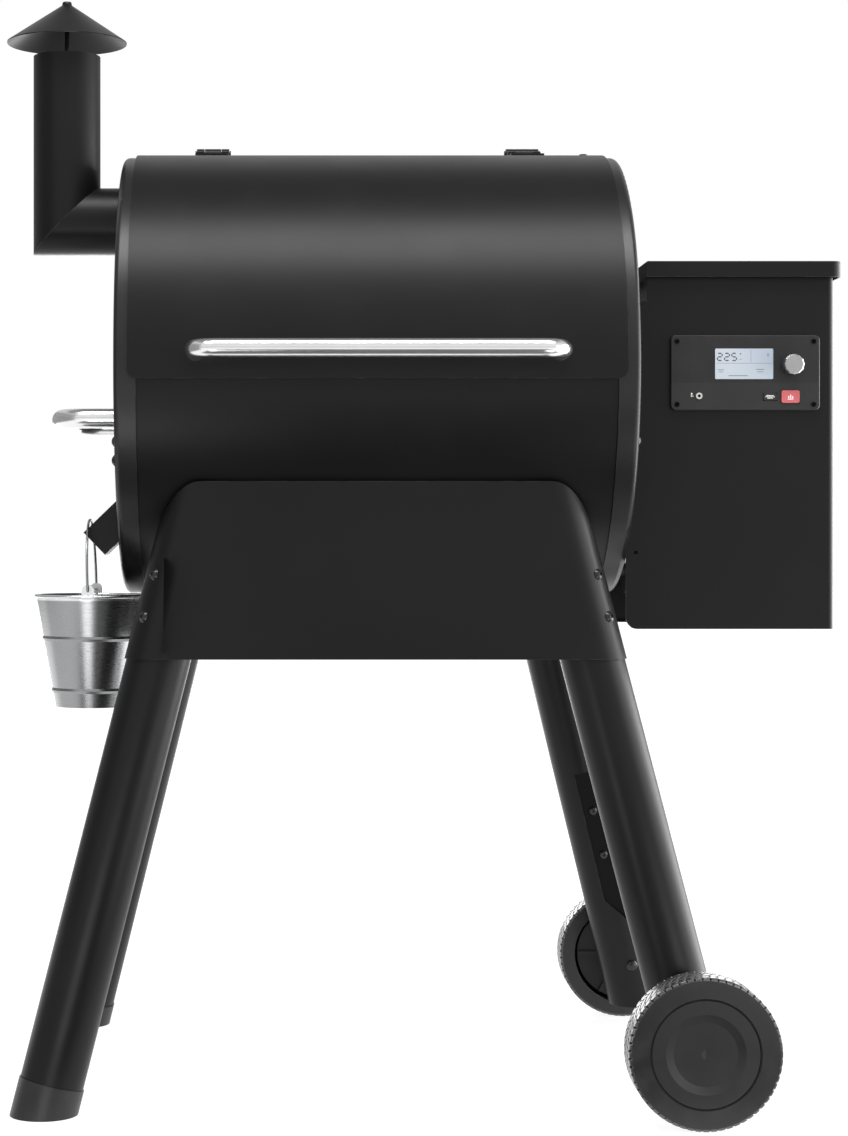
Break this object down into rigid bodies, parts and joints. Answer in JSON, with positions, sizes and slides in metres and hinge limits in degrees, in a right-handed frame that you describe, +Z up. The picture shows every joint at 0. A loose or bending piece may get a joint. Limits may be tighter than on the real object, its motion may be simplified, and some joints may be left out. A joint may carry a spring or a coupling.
{
  "type": "pellet smoker grill",
  "caption": "Barrel pellet smoker grill on splayed tube legs with two wheels, a hinged lid, chimney, side hopper with controller, and a hanging grease bucket.",
  "frame": {"origin": "on the floor, under the middle of the whole grill's box", "axes": "+Z up; +X towards the hopper, along the barrel; -Y is the front, where the lid handle is"},
  "size_m": [1.021, 0.708, 1.346],
  "materials": {
    "black_paint": "satin black powder coat",
    "polished_steel": "polished stainless steel",
    "bucket_steel": "brushed galvanised steel",
    "black_bolt": "black oxide fasteners",
    "foot_plastic": "moulded black plastic",
    "wheel_plastic": "moulded black plastic",
    "tyre_rubber": "black rubber tread",
    "controller_plastic": "dark moulded plastic",
    "screen": "lit display window",
    "knob_metal": "turned and brushed",
    "ignite_red": "moulded red plastic",
    "menu_plastic": "moulded plastic",
    "jack_metal": "bright plated ring",
    "zinc_steel": "zinc-coated sheet and fasteners",
    "inner_steel": "heat-marked steel",
    "pot_iron": "cast iron, sooty",
    "grate_enamel": "porcelain enamel on steel bars",
    "rack_steel": "plated wire",
    "motor_grey": "grey gear housing",
    "fan_plastic": "moulded black plastic"
  },
  "bodies": {
    "root": {"barrel_shell": "black_paint", "end_cap_left": "black_paint", "end_cap_right": "black_paint", "barrel_hinge_leaves": "black_paint", "tow_handle": "polished_steel", "chimney_pipe": "black_paint", "chimney_elbow": "black_paint", "chimney_rod": "zinc_steel", "grease_spout": "black_paint", "front_panel": "black_paint", "rear_panel": "black_paint", "frame_bolts": "black_bolt", "leg_saddles": "black_paint", "foot_caps": "foot_plastic", "wheel_leg_strips": "black_paint", "axles": "black_bolt", "leg_front_left": "black_paint", "leg_front_right": "black_paint", "leg_rear_left": "black_paint", "leg_rear_right": "black_paint", "hopper_cabinet": "black_paint", "hopper_bin": "zinc_steel", "hopper_guard": "rack_steel", "hopper_fittings": "black_paint", "controller_plate": "controller_plastic", "controller_screws": "black_bolt", "controller_screen": "screen", "probe_jack": "jack_metal", "power_inlet": "fan_plastic", "auger_tube": "zinc_steel", "auger_motor": "motor_grey", "fan_housing": "fan_plastic", "fire_pot": "pot_iron", "igniter_rod": "inner_steel", "heat_baffle": "inner_steel", "drip_tray": "inner_steel", "shelf_rails": "black_paint", "main_grate": "grate_enamel", "upper_rack": "grate_enamel", "temperature_probe": "rack_steel"},
    "lid_body": {"lid": "black_paint", "lid_handle": "polished_steel", "lid_handle_bolts": "black_bolt", "lid_hinge_leaves": "black_paint"},
    "hopper_lid_body": {"hopper_lid": "black_paint"},
    "wheel_front": {"tyre_front": "tyre_rubber", "hub_front": "wheel_plastic", "hub_cap_front": "wheel_plastic"},
    "wheel_rear": {"tyre_rear": "tyre_rubber", "hub_rear": "wheel_plastic", "hub_cap_rear": "wheel_plastic"},
    "chimney_cap_body": {"chimney_cap": "black_paint"},
    "bail_body": {"bail": "bucket_steel"},
    "bucket_body": {"bucket": "bucket_steel"},
    "knob_body": {"knob": "knob_metal"},
    "ignite_body": {"ignite_button": "ignite_red"},
    "menu_body": {"menu_button": "menu_plastic"},
    "auger_body": {"auger": "inner_steel"},
    "fan_body": {"fan_impeller": "fan_plastic"},
    "clean_out_body": {"clean_out_door": "black_paint"}
  },
  "joints": [
    {"name": "lid_hinge", "type": "hinge", "parent": "root", "child": "lid_body", "pos_m": [-0.0515, 0.035, 1.151], "axis": [-1, 0, 0], "range_deg": [0, 120]},
    {"name": "hopper_lid_hinge", "type": "hinge", "parent": "root", "child": "hopper_lid_body", "pos_m": [0.3935, 0.1215, 0.987], "axis": [-1, 0, 0], "range_deg": [0, 100]},
    {"name": "wheel_front_spin", "type": "hinge", "parent": "root", "child": "wheel_front", "pos_m": [0.312, -0.331, 0.0863], "axis": [0, 1, 0], "continuous": true},
    {"name": "wheel_rear_spin", "type": "hinge", "parent": "root", "child": "wheel_rear", "pos_m": [0.312, 0.331, 0.0863], "axis": [0, 1, 0], "continuous": true},
    {"name": "chimney_cap_height", "type": "slide", "parent": "root", "child": "chimney_cap_body", "axis": [0, 0, 1], "range_m": [-0.012, 0]},
    {"name": "bail_swing", "type": "hinge", "parent": "root", "child": "bail_body", "pos_m": [-0.3931, -0.12, 0.6774], "axis": [0, 1, 0], "range_deg": [-4, 20]},
    {"name": "bucket_swing", "type": "hinge", "parent": "bail_body", "child": "bucket_body", "pos_m": [-0.3905, -0.12, 0.6], "axis": [0, 1, 0], "range_deg": [-4, 12]},
    {"name": "knob_turn", "type": "hinge", "parent": "root", "child": "knob_body", "pos_m": [0.4499, -0.15, 0.8704], "axis": [0, -1, 0], "continuous": true},
    {"name": "ignite_press", "type": "slide", "parent": "root", "child": "ignite_body", "axis": [0, 1, 0], "range_m": [0, 0.0012], "stiffness_N_per_m": 400},
    {"name": "menu_press", "type": "slide", "parent": "root", "child": "menu_body", "axis": [0, 1, 0], "range_m": [0, 0.0007], "stiffness_N_per_m": 400},
    {"name": "auger_turn", "type": "hinge", "parent": "root", "child": "auger_body", "pos_m": [0.2485, 0, 0.66], "axis": [1, 0, 0], "continuous": true},
    {"name": "fan_spin", "type": "hinge", "parent": "root", "child": "fan_body", "pos_m": [0.2985, 0.07, 0.632], "axis": [1, 0, 0], "continuous": true},
    {"name": "clean_out_slide", "type": "slide", "parent": "root", "child": "clean_out_body", "axis": [0, 0, 1], "range_m": [0, 0.06]}
  ]
}
